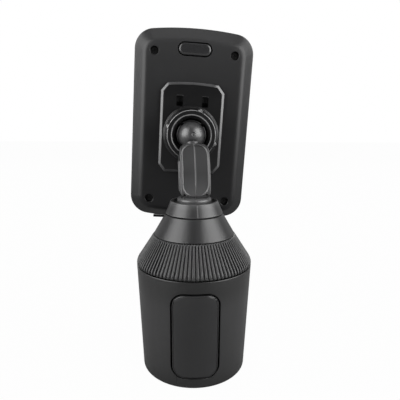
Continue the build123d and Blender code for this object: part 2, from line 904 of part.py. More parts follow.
def make_back_cover():
    shell = loft([at_depth(back_outline(0), back_depth), at_depth(cradle_outline(0), parting_depth)])
    hollow = loft(
        [
            at_depth(back_outline(shell_wall * 0.8), back_depth + shell_wall),
            at_depth(cradle_outline(shell_wall), parting_depth),
        ]
    )
    cover = shell - hollow
    for x, z in corner_spots():
        boss = pin(corner_boss_r, back_depth, corner_boss_depth, x, z) & shell
        cover += boss
        cover -= pin(corner_screw_r, back_depth, corner_boss_depth, x, z)
        cover -= pin(corner_well_r, back_depth, back_depth + corner_screw_sink + corner_screw_head, x, z)
    cover += pawl_bed()
    cover += spring_stop()
    cover -= slab(button_face(button_gap), back_depth - 1, back_depth + shell_wall)
    for x, z in plate_screw_spots():
        cover -= pin(plate_screw_r, back_depth, back_depth + shell_wall, x, z)
    return cover


def make_cover_screws():
    length = corner_screw_length
    one = Rot(90, 0, 0) * screw(corner_screw_r, corner_screw_head_r, corner_screw_head, length)
    depth = back_depth + corner_screw_sink + corner_screw_head
    return [Pos(x, depth, z) * one for x, z in corner_spots()]


def make_socket_plate():
    low = cradle_middle - plate_bottom
    high = cradle_middle + plate_top
    side = plate_half - plate_corner_x
    outline = [
        Line((-plate_half, low + plate_corner_z), (-plate_half, high - plate_corner_z - plate_bow)),
        Line((-plate_half, high - plate_corner_z - plate_bow), (-side, high - plate_bow)),
        ThreePointArc((-side, high - plate_bow), (0, high), (side, high - plate_bow)),
        Line((side, high - plate_bow), (plate_half, high - plate_corner_z - plate_bow)),
        Line((plate_half, high - plate_corner_z - plate_bow), (plate_half, low + plate_corner_z)),
        Line((plate_half, low + plate_corner_z), (side, low)),
        Line((side, low), (-side, low)),
        Line((-side, low), (-plate_half, low + plate_corner_z)),
    ]
    plate = slab(make_face(outline), socket_depth, back_depth)
    plate = chamfer(plate.edges().group_by(Axis.Y)[0], plate_edge)
    inner = ball_r + running_gap
    collet = spool(
        (0, socket_depth),
        (collet_root_r, socket_depth),
        (collet_root_r, ball_r * 0.55),
        (inner + collet_wall, ball_r * 0.3),
        (inner + collet_tip, -collet_lip),
        (0, -collet_lip),
    )
    collet -= Rot(-90, 0, 0) * Sphere(inner)
    slit_low = -collet_lip
    for n in range(collet_slits):
        slit = block((0, collet_root_r + 1), (slit_low, ball_r * 0.6), (-collet_slit / 2, collet_slit / 2))
        collet -= Rot(0, 360 * (n + 0.5) / collet_slits, 0) * slit
    seat_room = pin(seat_r + running_gap, ball_r * 0.5, seat_foot() + running_gap)
    plate = plate + collet - seat_room
    for side in (-1, 1):
        spot = Pos(side * plate_slot_x, cradle_middle + plate_slot_z)
        plate -= slab(spot * Rectangle(plate_slot_width, plate_slot_height), socket_depth, back_depth)
    for x, z in plate_screw_spots():
        plate -= pin(plate_screw_r, socket_depth + 1, back_depth, x, z)
    return plate


def make_plate_screws():
    depth = back_depth + shell_wall
    length = depth - socket_depth - 1
    one = Rot(-90, 0, 0) * screw(plate_screw_r, plate_screw_head_r, plate_screw_head, length)
    return [Pos(x, depth, z) * one for x, z in plate_screw_spots()]


def seat_foot():
    return sqrt(ball_r**2 - seat_r**2) - 0.5 + seat_thickness


def make_ball_seat():
    """Dished seat between the ball and the socket plate."""
    top = sqrt(ball_r**2 - seat_r**2) - 0.5
    return pin(seat_r, top, seat_foot()) - Rot(-90, 0, 0) * Sphere(ball_r + running_gap)


def make_lock_nut():
    rear = socket_depth - turn_gap
    bore_r = collet_root_r + running_gap
    body = spool(
        (nut_face_r, -nut_front),
        (nut_outer_r, -nut_front),
        (nut_rear_r, rear - nut_flange),
        (nut_rear_r + nut_flange_reach, rear - nut_flange),
        (nut_rear_r + nut_flange_reach, rear),
        (bore_r, rear),
        (bore_r, ball_r * 0.45),
        (nut_throat_r, ball_r * 0.15),
        (nut_throat_r, nut_front + 0.2),
    )
    ridge_high = rear - nut_flange
    fin = slab(fin_face(), nut_fin_inset - nut_front, ridge_high)
    for n in range(nut_fins):
        body += Rot(0, -(nut_fin_angle + 360 * n / nut_fins), 0) * fin
    return body


def fin_face():
    """One fin of the nut, pointing along x, with hollow flanks."""
    root = radians(nut_fin_root)
    inner = nut_outer_r - root_sink
    x = nut_outer_r * cos(root)
    z = nut_outer_r * sin(root)
    half = nut_fin_width / 2
    hollow = ((x + nut_fin_reach) / 2 - half, (z + half) / 2 - half)
    outline = [
        Line((inner * cos(root), -inner * sin(root)), (x, -z)),
        ThreePointArc((x, -z), (hollow[0], -hollow[1]), (nut_fin_reach, -half)),
        Line((nut_fin_reach, -half), (nut_fin_reach, half)),
        ThreePointArc((nut_fin_reach, half), hollow, (x, z)),
        Line((x, z), (inner * cos(root), inner * sin(root))),
        Line((inner * cos(root), inner * sin(root)), (inner * cos(root), -inner * sin(root))),
    ]
    return make_face(outline)


def platform_face(inset):
    top = cradle_middle + platform_top - inset
    low = cradle_middle - platform_bottom + inset
    face = RectangleRounded(2 * (platform_half - inset), top - low, platform_corner_r - inset)
    return Pos(0, (top + low) / 2) * face


def rack_bar_room(gap):
    """Space of the left arm's two bars, in arm travel, widened by a gap."""
    far = outline_half + 4
    inner = platform_half - platform_wall - 1
    depth = (rack_depth - gap, rack_depth + rack_thickness + gap)
    low = gear_z + pinion_r - tooth_addendum
    upper = block((-far, -inner), depth, (low - gap, low + rack_height + gap))
    guide = block((-far, -inner), depth, (gear_z - guide_bar_z - guide_bar_height - gap, gear_z - guide_bar_z + gap))
    return upper + guide


def half_turn(shape):
    """The same shape turned half a turn about the pinion's axis."""
    return Pos(0, 0, gear_z) * Rot(0, 180, 0) * Pos(0, 0, -gear_z) * shape


def make_front_shell():
    flange_top = parting_depth + flange_thickness
    flange = slab(cradle_outline(parting_step), parting_depth, flange_top)
    platform = slab(platform_face(0), flange_top, platform_depth)
    shell = flange + platform
    shell -= slab(platform_face(platform_wall), parting_depth, platform_depth - platform_wall)
    for x, z in corner_spots():
        shell += pin(corner_boss_r - 1, corner_boss_depth, parting_depth, x, z)
        end = back_depth + corner_screw_sink + corner_screw_head + corner_screw_length
        shell -= pin(corner_screw_r, corner_boss_depth, end, x, z)
    bars = rack_bar_room(slide_gap)
    shell -= bars
    shell -= half_turn(bars)
    post_low = ratchet_depth - slide_gap
    shell += pin(axle_r, post_low, platform_depth - platform_wall / 2, 0, gear_z)
    shell -= pin(pinion_screw_r, post_low, post_low + pinion_screw_length, 0, gear_z)
    shell += rack_guides()
    shell += slab(foot_tunnel(tunnel_wall), parting_depth, tunnel_depth() + tunnel_wall)
    return shell - slab(foot_tunnel(0), parting_depth, tunnel_depth())


def tunnel_depth():
    return foot_slide_depth + foot_slide_thickness + slide_gap


def foot_tunnel(wall):
    """Face of the channel that the foot's slide runs in, widened by a wall at its sides."""
    half = foot_slide_half + slide_gap + wall
    low = cradle_middle - outline_top + parting_step
    high = cradle_middle - platform_bottom + platform_wall
    if wall == 0:
        low -= 1
    return Pos(0, (low + high) / 2) * Rectangle(2 * half, high - low)


def rack_guides():
    """Ribs under the front wall that keep the bars at their depth."""
    top = platform_depth - platform_wall
    low = rack_depth + rack_thickness + slide_gap / 3
    ribs = []
    for side in (-1, 1):
        near = platform_half - guide_rib_inset
        x = sorted((side * near, side * (near - guide_rib_width)))
        reach = guide_bar_z + guide_bar_height
        ribs.append(block(x, (low, top), (gear_z - reach, gear_z + reach)))
    return ribs


def make_front_pad():
    return slab(platform_face(front_pad_inset), platform_depth, front_depth)


def rack_tooth_gaps():
    """Gaps between the rack's teeth, in (x, height above the pitch line) about a gap at x = 0."""
    pitch = pi * gear_module
    tangent = tan(radians(pressure_angle))
    middle_half = pitch / 4 + tooth_backlash / 2
    gaps = []
    count = int(rack_end / pitch)
    for n in range(-1, count + 1):
        x = n * pitch
        low = middle_half + tooth_addendum * tangent
        high = middle_half - tooth_dedendum * tangent
        top = tooth_dedendum
        foot = -tooth_addendum
        points = [(x - low, foot), (x + low, foot), (x + high, top), (x - high, top)]
        gaps.append(Pos(0, gear_z + pinion_r) * make_face(Polyline(*points, close=True)))
    return gaps


def make_clamp_arm():
    """The left arm: jaw, racked bar above the pinion and guide bar below it."""
    bar_low = gear_z + pinion_r - tooth_addendum
    depth = (rack_depth, rack_depth + rack_thickness)
    rack = block((-jaw_inner - 1, rack_end), depth, (bar_low, bar_low + rack_height))
    for gap in rack_tooth_gaps():
        rack -= slab(gap, rack_depth, rack_depth + rack_thickness)
    guide_top = gear_z - guide_bar_z
    guide = block((-jaw_inner - 1, -guide_bar_end), depth, (guide_top - guide_bar_height, guide_top))
    jaw_foot = parting_depth + flange_thickness + slide_gap
    z = (gear_z - jaw_half_height, gear_z + jaw_half_height)
    jaw = block((-jaw_outer, -jaw_inner), (jaw_foot, jaw_reach), z)
    corner_edges = jaw.edges().filter_by(Axis.X).group_by(Axis.Y)[-1]
    jaw = fillet(corner_edges, jaw_corner_r)
    outer_edges = jaw.edges().group_by(Axis.X)[0]
    jaw = chamfer(outer_edges, 1.0)
    lip_low = jaw_reach - jaw_lip_thickness
    lip_z = (z[0] + jaw_corner_r, z[1] - jaw_corner_r)
    lip = block((-jaw_inner, -jaw_inner + jaw_pad_thickness + jaw_lip), (lip_low, jaw_reach), lip_z)
    return rack + guide + jaw + lip


def make_arm_pad():
    z = (gear_z - jaw_half_height + jaw_pad_inset, gear_z + jaw_half_height - jaw_pad_inset)
    depth = (front_depth + slide_gap, jaw_reach - jaw_lip_thickness)
    inner = jaw_inner - jaw_pad_thickness
    return block((-jaw_inner, -inner), depth, z)


def involute(base_r, r):
    """Polar angle of an involute of the base circle at a radius."""
    roll = sqrt(max(r * r / base_r**2 - 1, 0))
    return roll - atan2(roll, 1)


def make_pinion_face():
    base_r = pinion_r * cos(radians(pressure_angle))
    tip_r = pinion_r + tooth_addendum
    root_r = pinion_r - tooth_dedendum
    half_at_pitch = pi / 2 / pinion_teeth - tooth_backlash / 2 / pinion_r
    flank = [base_r + (tip_r - base_r) * step / 4 for step in range(5)]
    points = []
    for n in range(pinion_teeth):
        middle = pi / 2 + 2 * pi * n / pinion_teeth
        left = []
        for r in [root_r] + flank:
            half = half_at_pitch + involute(base_r, pinion_r) - involute(base_r, r)
            left.append((r, half))
        points += [(r * cos(middle - half), r * sin(middle - half)) for r, half in left]
        points += [(r * cos(middle + half), r * sin(middle + half)) for r, half in reversed(left)]
    return make_face(Polyline(*points, close=True))


def make_ratchet_face():
    points = []
    for n in range(ratchet_teeth):
        angle = 2 * pi * n / ratchet_teeth
        nearly = angle + 2 * pi / ratchet_teeth * 0.999
        points.append((ratchet_root_r * cos(angle), ratchet_root_r * sin(angle)))
        points.append((ratchet_r * cos(nearly), ratchet_r * sin(nearly)))
    return make_face(Polyline(*points, close=True))


def make_pinion():
    spot = Pos(0, gear_z)
    gear = slab(spot * make_pinion_face(), rack_depth, rack_depth + rack_thickness)
    hub = pin(pinion_hub_r, ratchet_depth + ratchet_thickness, rack_depth, 0, gear_z)
    wheel = slab(spot * make_ratchet_face(), ratchet_depth, ratchet_depth + ratchet_thickness)
    bore = pin(axle_r + running_gap, ratchet_depth, rack_depth + rack_thickness, 0, gear_z)
    return gear + hub + wheel - bore


def make_pinion_screw():
    one = Rot(90, 0, 0) * screw(pinion_screw_r, pinion_screw_head_r * 0.9, pinion_screw_head, pinion_screw_length)
    return Pos(0, ratchet_depth - slide_gap, gear_z) * one


def coil(coil_r, wire_r, length, turns):
    """Open helical spring along Z, from z = 0."""
    path = Helix(pitch=(length - 2 * wire_r) / turns, height=length - 2 * wire_r, radius=coil_r)
    section = Plane(origin=path @ 0, z_dir=path % 0) * Circle(wire_r)
    return Pos(0, 0, wire_r) * sweep(section, path=path, is_frenet=True)


def make_pinion_spring():
    length = torsion_turns * torsion_pitch + 2 * torsion_wire_r
    middle = (ratchet_depth + ratchet_thickness + rack_depth) / 2
    start = middle + length / 2
    spring = coil(torsion_coil_r, torsion_wire_r, length, torsion_turns)
    return Pos(0, start, gear_z) * Rot(90, 0, 0) * spring


def make_release_button():
    front = back_depth - button_proud
    back = front + button_thickness
    cap = slab(button_face(0), front, back)
    cap = chamfer(cap.edges().group_by(Axis.Y)[0], button_edge)
    z = cradle_middle + button_z
    top = z + stem_height / 2
    stem = block((-stem_half, stem_half), (back - 0.5, stem_reach), (top - stem_height, top))
    cut = Polyline((stem_reach - stem_ramp, top), (stem_reach, top), (stem_reach, top - stem_ramp), close=True)
    wedge = make_face(Plane.YZ * cut)
    return cap + stem - extrude(wedge, stem_half * 2, both=True)


def make_release_pawl():
    """Slide that the button's ramp lifts off the ratchet wheel."""
    tip = gear_z + ratchet_r + pawl_tip_gap
    z = cradle_middle + button_z
    stem_top = z + stem_height / 2
    head_top = stem_top + pawl_head
    depth = (pawl_depth, pawl_depth + pawl_thickness)
    bar = block((-pawl_half, pawl_half), depth, (tip + 3, head_top))
    point = make_face(Polyline((-0.4, tip), (0.4, tip), (pawl_half, tip + 4), (-pawl_half, tip + 4), close=True))
    bar += slab(point, *depth)
    shoulder = gear_z + pawl_shoulder_z
    bar += block((-pawl_half, pawl_shoulder_half + 1), depth, (shoulder, shoulder + pawl_shoulder_height))
    window_low = stem_top - stem_height - button_travel - slide_gap
    ramp_sum = stem_reach - stem_ramp + stem_top + ramp_gap
    side = Polyline(
        (depth[0], window_low),
        (depth[1], window_low),
        (depth[1], ramp_sum - depth[1]),
        (depth[0], ramp_sum - depth[0]),
        close=True,
    )
    window = extrude(make_face(Plane.YZ * side), pawl_window_half, both=True)
    return bar - window


def make_pawl_spring():
    x = pawl_half + slide_gap + pawl_spring_r + spring_wire_r + 0.2
    foot = gear_z + pawl_shoulder_z + pawl_shoulder_height
    spring = coil(pawl_spring_r, spring_wire_r, pawl_spring_length, pawl_spring_turns)
    return Pos(x, pawl_depth + pawl_thickness / 2, foot) * spring


def make_button_springs():
    start = back_depth - button_proud + button_thickness
    length = parting_depth - start
    spring = Rot(-90, 0, 0) * coil(button_spring_r, spring_wire_r, length, button_spring_turns)
    z = cradle_middle + button_z
    return [Pos(side * button_spring_x, start, z) * spring for side in (-1, 1)]


def make_foot_bracket():
    top = foot_top()
    low = top - foot_bar_thickness
    bar = block((-foot_half, foot_half), (foot_bar_start, foot_bar_front), (low, top))
    bar += block((-foot_slide_half, foot_slide_half), (foot_slide_depth, foot_bar_start + 1), (low, top))
    slide = block(
        (-foot_slide_half, foot_slide_half),
        (foot_slide_depth, foot_slide_depth + foot_slide_thickness),
        (low, top + foot_slide_length),
    )
    lips = []
    for side in (-1, 1):
        x = sorted((side * foot_half, side * (foot_half - foot_lip_width)))
        lips.append(block(x, (foot_bar_front - foot_lip_thickness, foot_bar_front), (top - root_sink, top + foot_lip_height)))
    return bar + slide + lips


def make_foot_pads():
    top = foot_top()
    pads = []
    for side in (-1, 1):
        x = sorted((side * (foot_half - 0.5), side * (foot_half - foot_lip_width)))
        depth = (front_depth + slide_gap, foot_bar_front - foot_lip_thickness)
        pads.append(block(x, depth, (top, top + foot_pad_thickness)))
    return pads


# ---- Everything in its place ----
os.makedirs("parts", exist_ok=True)

ball_place = Rot(0, 0, neck_turn) * Pos(0, ball_y, ball_z)
ball_centre = ball_place.position
cradle_place = Pos(*ball_centre) * Rot(0, 0, cradle_yaw) * Rot(cradle_pitch, 0, 0) * Rot(0, cradle_roll, 0)
neck_body = make_neck()
leg = make_leg()
leg_pad = make_leg_pad()
clamp_arm = make_clamp_arm()
arm_pad = make_arm_pad()

nodes = {
    "cup_shell": make_cup_shell(),
    "bottom_cover": make_bottom_cover(),
    "bottom_screws": make_base_screws(),
    "guide_deck": make_guide_deck(),
    "deck_screws": make_deck_screws(),
    "smooth_cone": make_smooth_cone(),
    "swivel_post": make_swivel_post(),
    "spindle_screw": make_spindle_screw(),
    "ribbed_ring": make_ribbed_ring(),
    "cam_disc": make_cam_disc(),
    "cam_screws": make_cam_screws(),
    "neck_shell_left": make_neck_half(-1),
    "neck_shell_right": make_neck_half(1),
    "neck_screws": make_neck_screws(),
    "ball_stud": make_ball_stud(),
}
for name, angle in leg_angles.items():
    nodes[f"{name}_leg"] = about_z(leg, angle + 90)
    nodes[f"{name}_leg_pad"] = about_z(leg_pad, angle + 90)

cradle_nodes = {
    "ball_seat": make_ball_seat(),
    "lock_nut": make_lock_nut(),
    "socket_plate": make_socket_plate(),
    "plate_screws": make_plate_screws(),
    "back_cover": make_back_cover(),
    "cover_screws": make_cover_screws(),
    "front_shell": make_front_shell(),
    "front_pad": make_front_pad(),
    "clamp_arm_left": clamp_arm,
    "clamp_arm_right": half_turn(clamp_arm),
    "arm_pad_left": arm_pad,
    "arm_pad_right": half_turn(arm_pad),
    "pinion_gear": make_pinion(),
    "pinion_screw": make_pinion_screw(),
    "pinion_spring": make_pinion_spring(),
    "release_button": make_release_button(),
    "release_pawl": make_release_pawl(),
    "pawl_spring": make_pawl_spring(),
    "button_springs": make_button_springs(),
    "foot_bracket": make_foot_bracket(),
    "foot_pads": make_foot_pads(),
}
for name, shape in cradle_nodes.items():
    pieces = shape if isinstance(shape, list) else [shape]
    nodes[name] = [cradle_place * piece for piece in pieces]

for name, shape in nodes.items():
    pieces = shape if isinstance(shape, list) else [shape]
    solids = [solid for piece in pieces for solid in piece.solids()]
    export_step(Compound(children=solids), f"parts/{name}.step")
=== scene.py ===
import json
import math
import bmesh
import bpy
from mathutils import Matrix, Vector


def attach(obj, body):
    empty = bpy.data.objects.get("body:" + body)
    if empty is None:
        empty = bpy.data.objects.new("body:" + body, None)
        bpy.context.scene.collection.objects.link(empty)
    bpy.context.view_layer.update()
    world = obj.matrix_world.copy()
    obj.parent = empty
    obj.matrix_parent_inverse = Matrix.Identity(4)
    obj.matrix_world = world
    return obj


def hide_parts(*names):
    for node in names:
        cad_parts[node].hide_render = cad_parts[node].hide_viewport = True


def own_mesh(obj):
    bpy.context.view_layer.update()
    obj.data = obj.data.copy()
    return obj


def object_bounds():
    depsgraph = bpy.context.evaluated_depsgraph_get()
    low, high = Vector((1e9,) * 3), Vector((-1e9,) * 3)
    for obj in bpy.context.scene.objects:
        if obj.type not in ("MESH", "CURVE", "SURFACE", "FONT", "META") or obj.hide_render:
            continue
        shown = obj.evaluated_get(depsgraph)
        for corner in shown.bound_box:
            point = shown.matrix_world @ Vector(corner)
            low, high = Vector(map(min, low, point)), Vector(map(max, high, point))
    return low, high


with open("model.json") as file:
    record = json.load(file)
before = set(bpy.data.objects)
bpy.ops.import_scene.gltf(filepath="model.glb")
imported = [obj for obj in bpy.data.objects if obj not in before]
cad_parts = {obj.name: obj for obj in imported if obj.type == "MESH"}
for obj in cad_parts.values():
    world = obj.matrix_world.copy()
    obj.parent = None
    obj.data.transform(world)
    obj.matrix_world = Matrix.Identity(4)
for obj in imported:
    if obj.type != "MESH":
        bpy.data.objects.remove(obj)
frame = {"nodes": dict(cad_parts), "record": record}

cadLow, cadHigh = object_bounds()
nodes = frame["nodes"]
behaviour = frame["record"]["behaviour"]
joints = {joint["name"]: joint for joint in behaviour["joints"]}
bodyOf = {node: body for body, held in behaviour["bodies"].items() for node in held}
slotOf = {part["node"]: part["material_slot"] for part in frame["record"]["subparts"]}
mm = 0.001    # the scene is in metres, and the pieces' own sizes are given in millimetres
print("frame: loaded", len(nodes), "solids")

# The cradle's own directions, as its joints give them: across, towards the phone, and up.
cradleAcross = -Vector(joints["arm_left_slide"]["axis"]).normalized()
cradleInward = Vector(joints["button_press"]["axis"]).normalized()
cradleUp = Vector(joints["pawl_lift"]["axis"]).normalized()
ballCentre = Vector(joints["ball_roll"]["pos_m"])
cradleTurn = Matrix((cradleAcross, cradleInward, cradleUp)).transposed()
cradlePlace = Matrix.Translation(ballCentre) @ cradleTurn.to_4x4()
intoCradle = cradlePlace.inverted()


class Sock:    # one node socket, with arithmetic
    def __init__(self, tree, out):
        self.tree = tree
        self.out = out

    def math(self, operation, other=None, swapped=False):
        sides = [other, self] if swapped else [self, other]
        return self.tree.add("ShaderNodeMath", {"operation": operation}, [side for side in sides if side is not None])

    def __add__(self, other):
        return self.math("ADD", other)

    def __sub__(self, other):
        return self.math("SUBTRACT", other)

    def __rsub__(self, other):
        return self.math("SUBTRACT", other, True)

    def __mul__(self, other):
        return self.math("MULTIPLY", other)

    def __truediv__(self, other):
        return self.math("DIVIDE", other)

    __radd__ = __add__
    __rmul__ = __mul__

    def clamped(self):
        return self.math("MINIMUM", 1.0).math("MAXIMUM", 0.0)


class Nodes:    # a node tree that is filled one line at a time
    def __init__(self, tree):
        self.tree = tree

    def add(self, kind, settings=None, inputs=(), out=0):
        node = self.tree.nodes.new(kind)
        for name, value in (settings or {}).items():
            if name == "stops":    # a ramp's stops as (place, grey)
                while len(node.color_ramp.elements) < len(value):
                    node.color_ramp.elements.new(0.5)
                for element, (place, grey) in zip(node.color_ramp.elements, value):
                    element.position = place
                    element.color = (grey, grey, grey, 1.0)
            else:
                setattr(node, name, value)
        pairs = inputs.items() if isinstance(inputs, dict) else enumerate(inputs)
        for key, value in pairs:
            if isinstance(value, Sock):
                self.tree.links.new(value.out, node.inputs[key])
            elif value is not None:
                node.inputs[key].default_value = value
        return Sock(self, node.outputs[out]) if node.outputs else None

    def mixColours(self, factor, low, high):
        node = self.tree.nodes.new("ShaderNodeMix")
        node.data_type = "RGBA"
        self.tree.links.new(factor.out, node.inputs[0])
        for socket, value in ((node.inputs[6], low), (node.inputs[7], high)):
            if isinstance(value, Sock):
                self.tree.links.new(value.out, socket)
            else:
                socket.default_value = (*value, 1.0)
        return Sock(self, node.outputs[2])

    def noise(self, place, scale, detail, roughness):
        inputs = {"Vector": place, "Scale": scale, "Detail": detail, "Roughness": roughness}
        return self.add("ShaderNodeTexNoise", {"noise_dimensions": "3D"}, inputs, "Fac")

    def bump(self, height, strength, distance, under=None):
        inputs = {"Strength": strength, "Distance": distance, "Height": height, "Normal": under}
        return self.add("ShaderNodeBump", None, inputs, "Normal")

    def rays(self, *kinds):    # one socket for each kind of ray
        path = self.tree.nodes.new("ShaderNodeLightPath")
        return [Sock(self, path.outputs["Is " + kind + " Ray"]) for kind in kinds]


def emptied(holder):    # a material's or a world's node tree with nothing in it
    holder.use_nodes = True
    holder.node_tree.nodes.clear()
    return Nodes(holder.node_tree)


def moulded(dark, light, roughness, **more):    # one finish's values; lengths are in metres
    look = {"roughSpread": 0.12, "grainScale": 6000.0, "flowScale": 60.0, "colourSpread": 1.0,
            "bump": 0.06, "bumpDepth": 0.00006, "specular": 0.5, "metallic": 0.0}
    return {**look, "dark": dark, "light": light, "roughness": roughness, **more}


gateMark = ballCentre + (cradleAcross * 1.0 + cradleUp * 1.1 - cradleInward * 8.37) * mm
looks = {
    "body_plastic": moulded((0.006, 0.006, 0.0065), (0.011, 0.011, 0.0115), 0.4,
                            roughSpread=0.16, bump=0.1, specular=0.62),
    # painted light: the cradle's colour grows paler towards its top
    "cradle_plastic": moulded((0.007, 0.007, 0.0075), (0.013, 0.013, 0.0135), 0.34,
                              roughSpread=0.16, grainScale=3000.0, flowScale=50.0, colourSpread=1.4,
                              bump=0.25, bumpDepth=0.00008, specular=0.27,
                              paler=(0.024, 0.024, 0.0245), palerFrom=0.15, palerOver=0.055,
                              palerStops=((0.0, 0.0), (1.0, 1.0))),
    # painted light: a paler band low on the neck, at the foot of the arm's recess
    "neck_plastic": moulded((0.010, 0.010, 0.0105), (0.017, 0.017, 0.0175), 0.42, flowScale=80.0, specular=0.66,
                            paler=(0.05, 0.05, 0.051), palerFrom=0.1045, palerOver=0.022,
                            palerStops=((0.0, 0.0), (0.2, 1.0), (0.45, 0.8), (0.95, 0.0))),
    # painted highlight on the neck shells' rounded edges
    "neck_edge_highlight": moulded((0.04, 0.04, 0.0405), (0.065, 0.065, 0.066), 0.34, flowScale=120.0, specular=0.8),
    # painted shade: the cup darkens towards its bottom and just under the ring
    "cup_plastic": moulded((0.006, 0.006, 0.0065), (0.011, 0.011, 0.0115), 0.4,
                           roughSpread=0.16, grainScale=3000.0, colourSpread=1.4, bump=0.25, specular=0.72,
                           fade=((0.0, 0.1), (0.18, 0.5), (0.45, 1.0), (0.72, 0.9), (0.86, 0.0)), fadeOver=0.07,
                           fadeShade=(0.0004, 0.0004, 0.0004)),
    "ball_plastic": moulded((0.014, 0.014, 0.0145), (0.024, 0.024, 0.025), 0.38,
                            roughSpread=0.1, flowScale=120.0, bump=0.05, specular=1.0,
                            mark=tuple(gateMark), markR=0.0009, markWidth=0.0004, markDepth=0.0004,
                            markShade=(0.001, 0.001, 0.001)),
    "nut_plastic": moulded((0.003, 0.003, 0.0033), (0.006, 0.006, 0.0063), 0.3, bump=0.08, specular=0.42),
    "button_plastic": moulded((0.011, 0.011, 0.0115), (0.018, 0.018, 0.019), 0.28,
                              roughSpread=0.1, flowScale=100.0, specular=0.7),
    "inner_plastic": moulded((0.007, 0.007, 0.0075), (0.013, 0.013, 0.0135), 0.34,
                             roughSpread=0.15, grainScale=5000.0, flowScale=70.0, bump=0.1, specular=0.6),
    "soft_rubber": moulded((0.008, 0.008, 0.0085), (0.014, 0.014, 0.0145), 0.46,
                           roughSpread=0.14, grainScale=7000.0, flowScale=70.0, bump=0.15),
    "screw_steel": moulded((0.35, 0.35, 0.36), (0.55, 0.55, 0.56), 0.35,
                           roughSpread=0.15, flowScale=150.0, bump=0.1, bumpDepth=0.0001, metallic=1.0),
    "dark_screw": moulded((0.002, 0.002, 0.002), (0.005, 0.005, 0.005), 0.45,
                          roughSpread=0.15, flowScale=150.0, bump=0.1, bumpDepth=0.0001, specular=0.25),
    # painted highlight for the slope round the plate's rim
    "painted_rim_light": moulded((0.028, 0.028, 0.029), (0.048, 0.048, 0.049), 0.3,
                         roughSpread=0.14, flowScale=160.0, colourSpread=1.2, specular=0.8),
    # painted highlight for the nut's edges and fins
    "painted_edge_glint": moulded((0.13, 0.13, 0.131), (0.2, 0.2, 0.201), 0.3,
                           roughSpread=0.14, flowScale=160.0, colourSpread=1.2, specular=0.8),
    # painted shade, for the slots, the screw wells and the button's window
    "deep_shade": moulded((0.001, 0.001, 0.001), (0.002, 0.002, 0.002), 0.6,
                          roughSpread=0.1, bump=0.05, specular=0.05),
    "spring_steel": moulded((0.4, 0.4, 0.41), (0.6, 0.6, 0.62), 0.25,
                            roughSpread=0.1, grainScale=2500.0, flowScale=150.0, bump=0.1, bumpDepth=0.0001,
                            metallic=1.0),
}


def mouldedPlastic(name, look):    # fine spark-eroded grain over slow flow marks
    material = bpy.data.materials.new(name)
    make = emptied(material)
    place = make.add("ShaderNodeTexCoord", out="Object")
    grain = make.noise(place, look["grainScale"], 3.0, 0.62)
    flow = make.noise(place, look["flowScale"], 2.0, 0.5)
    mix = (0.5 * grain + 0.5 * flow - 0.5) * look["colourSpread"] + 0.5
    colour = make.mixColours(mix.clamped(), look["dark"], look["light"])
    rough = (grain - 0.5) * look["roughSpread"] + (flow - 0.5) * look["roughSpread"] * 0.6 + look["roughness"]
    bump = make.bump(grain, look["bump"], look["bumpDepth"])
    if "fade" in look:    # painted shade: darker where little light gets in
        height = make.add("ShaderNodeSeparateXYZ", None, [place], "Z")
        share = make.add("ShaderNodeValToRGB", {"stops": look["fade"]}, [height / look["fadeOver"]])
        colour = make.mixColours(share, look["fadeShade"], colour)
    if "paler" in look:    # painted light: a paler band, in place of brightness that the lights don't give
        height = make.add("ShaderNodeSeparateXYZ", None, [place], "Z")
        rise = (height - look["palerFrom"]) / look["palerOver"]
        share = make.add("ShaderNodeValToRGB", {"stops": look["palerStops"]}, [rise])
        colour = make.mixColours(share, colour, look["paler"])
    if "mark" in look:    # the small ring that the mould's gate leaves
        away = make.add("ShaderNodeVectorMath", {"operation": "DISTANCE"}, [place, look["mark"]], "Value")
        ring = (1.0 - ((away - look["markR"]).math("ABSOLUTE") / look["markWidth"])).clamped()
        colour = make.mixColours(ring, colour, look["markShade"])
        bump = make.bump(1.0 - ring, 1.0, look["markDepth"], bump)
    shader = make.add("ShaderNodeBsdfPrincipled", None, {
        "Base Color": colour, "Roughness": rough.clamped(), "Normal": bump,
        "Specular IOR Level": look["specular"], "Metallic": look["metallic"]})
    make.add("ShaderNodeOutputMaterial", None, {"Surface": shader})
    return material


finishes = {name: mouldedPlastic(name, look) for name, look in looks.items()}
for name, node in nodes.items():
    node.data.materials.clear()
    node.data.materials.append(finishes[slotOf[name]])
print("finishes: made", len(finishes))


def placed(name, mesh):
    piece = bpy.data.objects.new(name, mesh)
    bpy.context.collection.objects.link(piece)
    return piece


def meshed(name, shape):    # turns a bmesh into a piece
    mesh = bpy.data.meshes.new(name)
    shape.to_mesh(mesh)
    shape.free()
    return placed(name, mesh)


def weldedCopy(node):    # a solid's copy with its facets merged back into flat faces
    shape = bmesh.new()
    shape.from_mesh(nodes[node].data)
    bmesh.ops.remove_doubles(shape, verts=shape.verts, dist=0.00001)
    bmesh.ops.dissolve_limit(shape, angle_limit=math.radians(0.6), verts=shape.verts, edges=shape.edges)
    return meshed(node + "_skin", shape)


def settled(piece):    # modifiers turned into plain mesh
    seen = piece.evaluated_get(bpy.context.evaluated_depsgraph_get())
    mesh = bpy.data.meshes.new_from_object(seen)
    piece.modifiers.clear()
    piece.data = mesh
    return piece


def evened(piece):    # normals that lean to the larger faces
    even = piece.modifiers.new("even", "WEIGHTED_NORMAL")
    even.keep_sharp = True
    even.weight = 80
    return settled(piece)


def rounded(piece, width, tone=None, turn=28.0):    # tone: the finishes of the faces and of the rounded edges
    for face in piece.data.polygons:
        face.use_smooth = True
    edge = piece.modifiers.new("edge", "BEVEL")
    edge.width = width * mm
    edge.segments = 3
    edge.limit_method = "ANGLE"
    edge.angle_limit = math.radians(turn)
    edge.use_clamp_overlap = False
    edge.miter_outer = "MITER_ARC"
    if tone:
        for finish in tone:
            piece.data.materials.append(finishes[finish])
        edge.material = 1
    return evened(piece)


